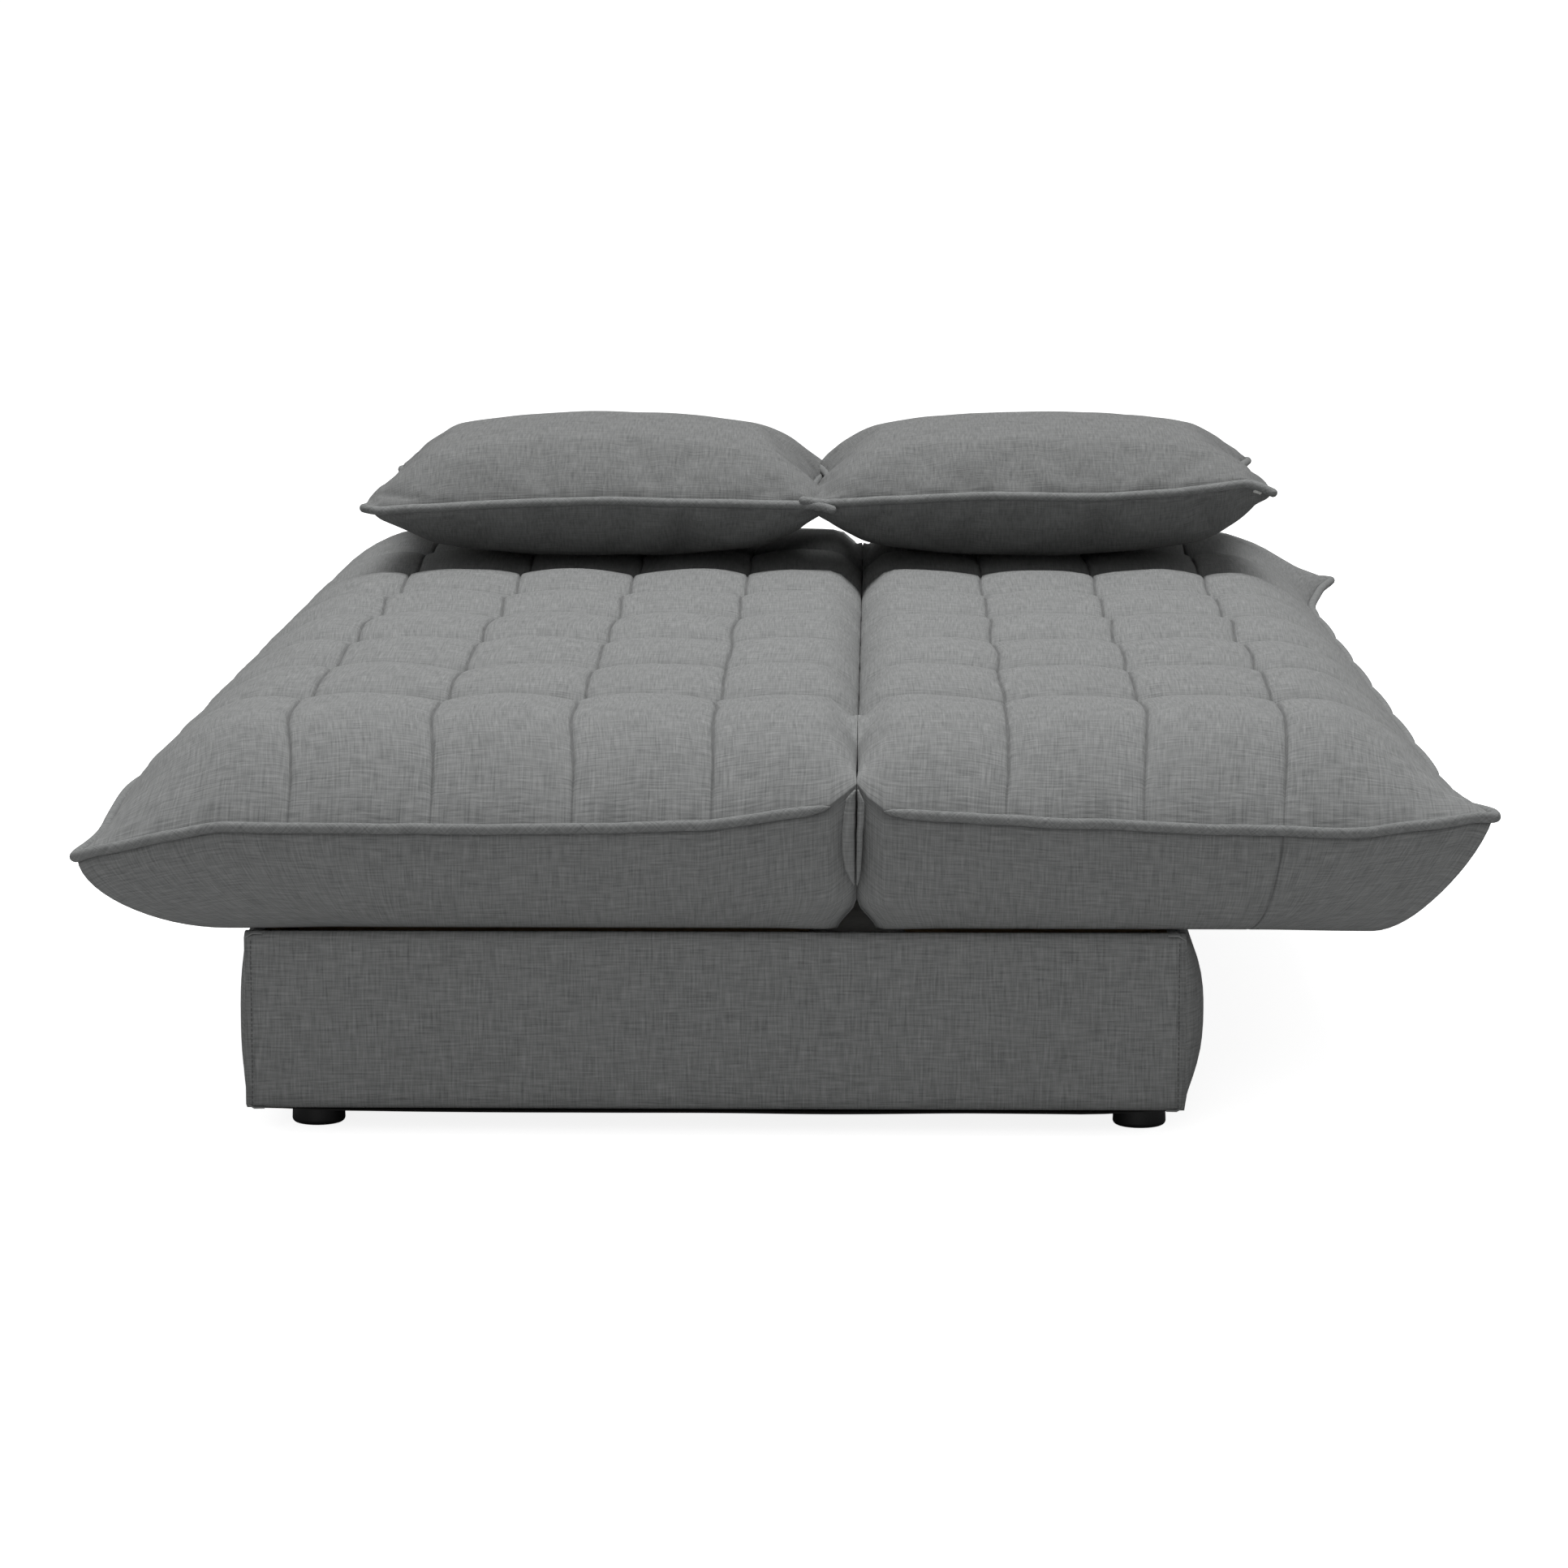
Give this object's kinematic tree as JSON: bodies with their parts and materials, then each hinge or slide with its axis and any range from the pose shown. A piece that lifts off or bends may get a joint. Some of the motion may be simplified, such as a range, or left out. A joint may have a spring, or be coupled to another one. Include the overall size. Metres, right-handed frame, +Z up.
{
  "type": "futon sofa bed",
  "caption": "Click-clack futon sofa bed opened flat: quilted seat and back halves that turn about the crease, on an upholstered bedding box with round feet and two piped cushions.",
  "frame": {"origin": "on the floor, under the middle of the opened bed", "axes": "+X from the seat half to the back half, +Y along the bed, +Z up"},
  "size_m": [1.22, 1.98, 0.52],
  "materials": {
    "quilted_cloth": "mid-grey slub weave over quilted wadding",
    "cushion_cloth": "mid-grey slub weave",
    "base_cloth": "mid-grey slub weave, pulled tight",
    "piping_cloth": "mid-grey slub weave cut on the bias over a cord",
    "black_cloth": "black spunbond dust cloth",
    "foam": "pale polyurethane foam and fibre",
    "pine_board": "planed softwood board",
    "hardboard": "brown hardboard",
    "beech_slat": "lacquered bent beech",
    "black_plastic": "moulded black plastic",
    "frame_steel": "black powder coat",
    "fitting_steel": "zinc-plated pressed steel",
    "spring_steel": "oiled spring steel",
    "zinc_fastener": "bright zinc"
  },
  "bodies": {
    "base": {"base_bracket_far": "fitting_steel", "base_bracket_near": "fitting_steel", "base_cover_end_far": "base_cloth", "base_cover_end_near": "base_cloth", "base_cover_front": "base_cloth", "base_cover_rear": "base_cloth", "base_end_board_far": "pine_board", "base_end_board_near": "pine_board", "base_front_board": "pine_board", "base_rear_board": "pine_board", "box_end_panel_far": "pine_board", "box_end_panel_near": "pine_board", "box_floor": "hardboard", "bracket_bolts": "zinc_fastener", "corner_blocks": "pine_board", "dust_cover": "black_cloth", "foot_front_far": "black_plastic", "foot_front_near": "black_plastic", "foot_rear_far": "black_plastic", "foot_rear_near": "black_plastic", "foot_screws": "zinc_fastener", "pawl_pins": "zinc_fastener", "pawl_spring_far": "spring_steel", "pawl_spring_near": "spring_steel", "pivot_bolts": "zinc_fastener", "pivot_nuts": "zinc_fastener", "pivot_washers": "zinc_fastener"},
    "seat": {"seat_arm_bolts": "zinc_fastener", "seat_arm_far": "fitting_steel", "seat_arm_near": "fitting_steel", "seat_cover": "quilted_cloth", "seat_cross_tubes": "frame_steel", "seat_foam": "foam", "seat_inner_tube": "frame_steel", "seat_outer_tube": "frame_steel", "seat_piping": "piping_cloth", "seat_slat_holders": "black_plastic", "seat_slats": "beech_slat", "seat_underside_cloth": "black_cloth"},
    "back": {"back_arm_bolts": "zinc_fastener", "back_arm_far": "fitting_steel", "back_arm_near": "fitting_steel", "back_cover": "quilted_cloth", "back_cross_tubes": "frame_steel", "back_foam": "foam", "back_inner_tube": "frame_steel", "back_outer_tube": "frame_steel", "back_piping": "piping_cloth", "back_slat_holders": "black_plastic", "back_slats": "beech_slat", "back_underside_cloth": "black_cloth"},
    "seat_cushion": {"seat_cushion_cover": "cushion_cloth", "seat_cushion_fill": "foam", "seat_cushion_piping": "piping_cloth"},
    "back_cushion": {"back_cushion_cover": "cushion_cloth", "back_cushion_fill": "foam", "back_cushion_piping": "piping_cloth"},
    "pawl_near": {"pawl_near": "fitting_steel"},
    "pawl_far": {"pawl_far": "fitting_steel"}
  },
  "joints": [
    {"name": "seat_lift", "type": "hinge", "parent": "base", "child": "seat", "pos_m": [0.06, 0, 0.338], "axis": [0, 1, 0], "range_deg": [0, 20]},
    {"name": "back_fold", "type": "hinge", "parent": "base", "child": "back", "pos_m": [0.06, 0, 0.338], "axis": [0, -1, 0], "range_deg": [0, 75]},
    {"name": "seat_cushion_shift", "type": "slide", "parent": "seat", "child": "seat_cushion", "axis": [-1, 0, 0], "range_m": [0, 0.0661]},
    {"name": "back_cushion_shift", "type": "slide", "parent": "back", "child": "back_cushion", "axis": [1, 0, 0], "range_m": [0, 0.2261]},
    {"name": "pawl_click_near", "type": "hinge", "parent": "base", "child": "pawl_near", "pos_m": [0.046, -0.801, 0.262], "axis": [0, -1, 0], "range_deg": [0, 6], "deforming": ["pawl_spring_near"]},
    {"name": "pawl_click_far", "type": "hinge", "parent": "base", "child": "pawl_far", "pos_m": [0.046, 0.801, 0.262], "axis": [0, -1, 0], "range_deg": [0, 6.01], "deforming": ["pawl_spring_far"]}
  ],
  "couplings": [
    {"joint": "seat_cushion_shift", "follows": "seat_lift", "m_per_rad": 0.18908},
    {"joint": "back_cushion_shift", "follows": "back_fold", "m_per_rad": 0.17265},
    {"joint": "pawl_click_far", "follows": "pawl_click_near", "ratio": 1}
  ]
}
